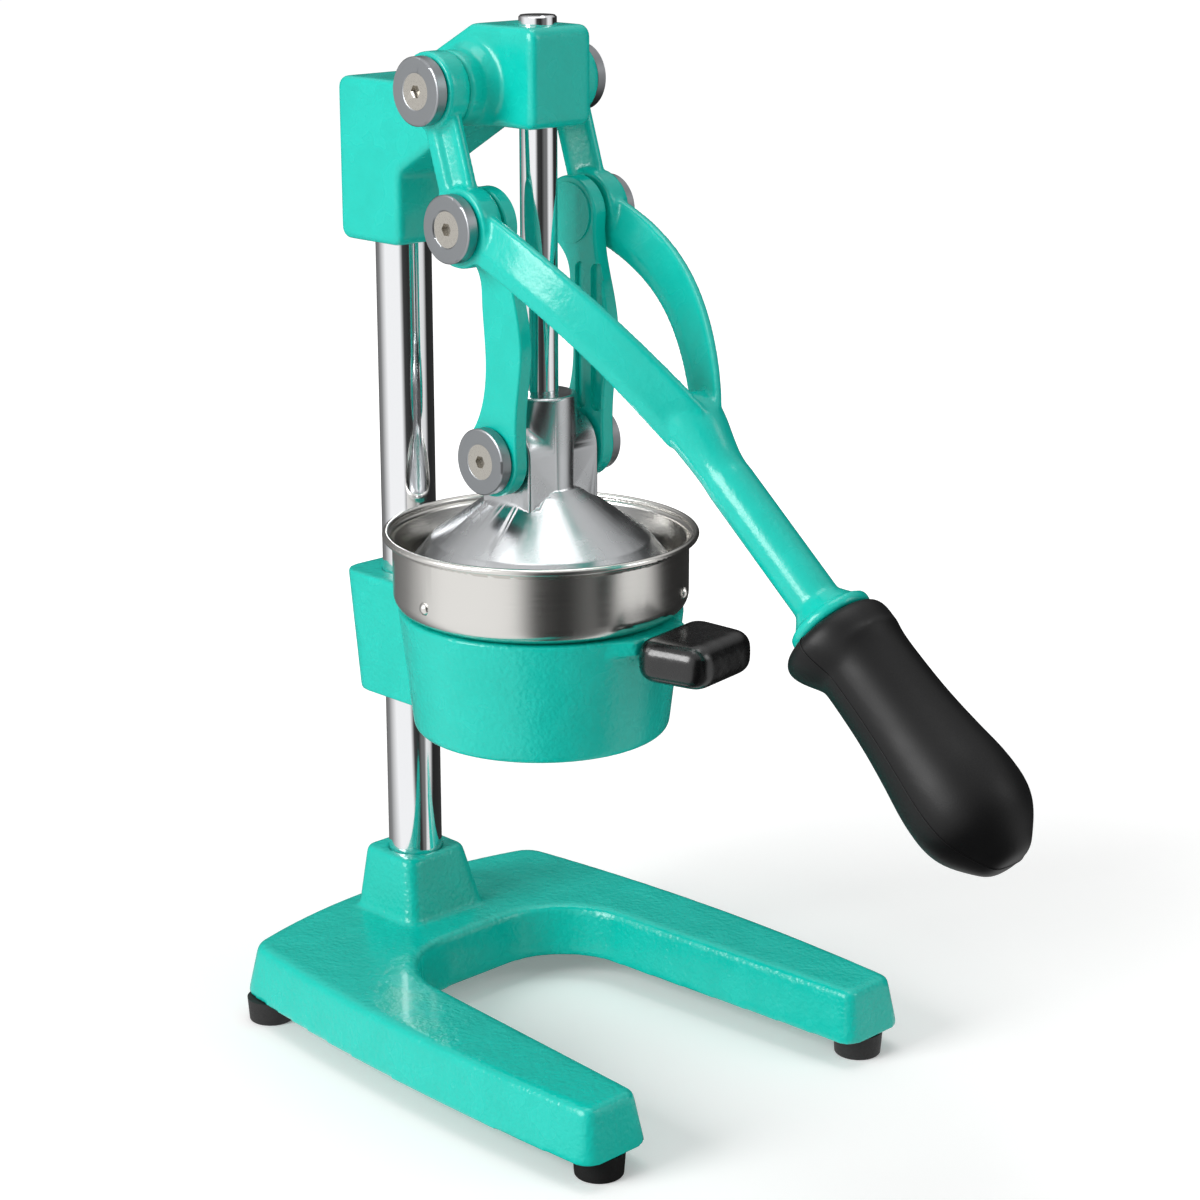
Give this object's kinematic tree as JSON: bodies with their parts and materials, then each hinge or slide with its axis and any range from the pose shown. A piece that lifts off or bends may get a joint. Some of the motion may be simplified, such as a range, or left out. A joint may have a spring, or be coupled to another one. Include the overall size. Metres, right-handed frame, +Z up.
{
  "type": "lever citrus juice press",
  "caption": "Upright lever press: a fork lever lifts and lowers a cone over a strainer bowl and reamer, with room for a glass below.",
  "frame": {"origin": "on the counter, under the middle of the whole press seen from above with the lever closed", "axes": "+Z up, -Y to the front where the lever grip points, +X to the right seen from the front"},
  "size_m": [0.2042, 0.3849, 0.4545],
  "materials": {
    "teal_enamel": "glossy teal enamel over cast metal",
    "chrome": "polished chrome plate",
    "rubber": "matte black rubber",
    "fastener_steel": "plain steel",
    "washer_steel": "turned steel",
    "pin_steel": "ground steel",
    "dipped_black": "glossy dipped vinyl",
    "grip_black": "matte moulded plastic",
    "bowl_steel": "brushed stainless steel",
    "cast_aluminium": "turned and polished casting"
  },
  "bodies": {
    "frame": {"base_casting": "teal_enamel", "foot_front_left": "rubber", "foot_front_right": "rubber", "foot_back_left": "rubber", "foot_back_right": "rubber", "foot_screws": "fastener_steel", "column": "chrome", "column_bolt": "fastener_steel", "column_washer": "fastener_steel", "cup_holder": "teal_enamel", "holder_set_screw": "fastener_steel", "holder_grip": "dipped_black", "strainer_bowl": "bowl_steel", "reamer_cone": "cast_aluminium", "head_casting": "teal_enamel", "head_set_screw": "fastener_steel", "pivot_shaft_a": "pin_steel", "washers_a": "washer_steel", "screws_a": "fastener_steel"},
    "press": {"guide_rod": "chrome", "press_cone": "cast_aluminium", "press_set_screw": "fastener_steel", "pivot_pins_c": "pin_steel", "washers_c": "washer_steel", "screws_c": "fastener_steel"},
    "link_left": {"link_left": "teal_enamel"},
    "link_right": {"link_right": "teal_enamel"},
    "lever": {"lever_fork": "teal_enamel", "lever_grip": "grip_black", "pivot_pins_b": "pin_steel", "washers_b": "washer_steel", "screws_b": "fastener_steel"}
  },
  "joints": [
    {"name": "lever_hinge", "type": "hinge", "parent": "frame", "child": "lever", "pos_m": [0, 0.09418, 0.4248], "axis": [-1, 0, 0], "range_deg": [0, 105]},
    {"name": "press_slide", "type": "slide", "parent": "frame", "child": "press", "axis": [0, 0, 1], "range_m": [0, 0.0898]},
    {"name": "link_left_hinge", "type": "hinge", "parent": "press", "child": "link_left", "pos_m": [0, 0.07178, 0.27065], "axis": [1, 0, 0], "range_deg": [0, 18.1]},
    {"name": "link_right_hinge", "type": "hinge", "parent": "press", "child": "link_right", "pos_m": [0, 0.07178, 0.27065], "axis": [1, 0, 0], "range_deg": [0, 18.1]}
  ],
  "couplings": [
    {"joint": "press_slide", "follows": "lever_hinge", "m_per_rad": 0.048797},
    {"joint": "link_left_hinge", "follows": "lever_hinge", "ratio": 0.16887},
    {"joint": "link_right_hinge", "follows": "lever_hinge", "ratio": 0.16887}
  ]
}
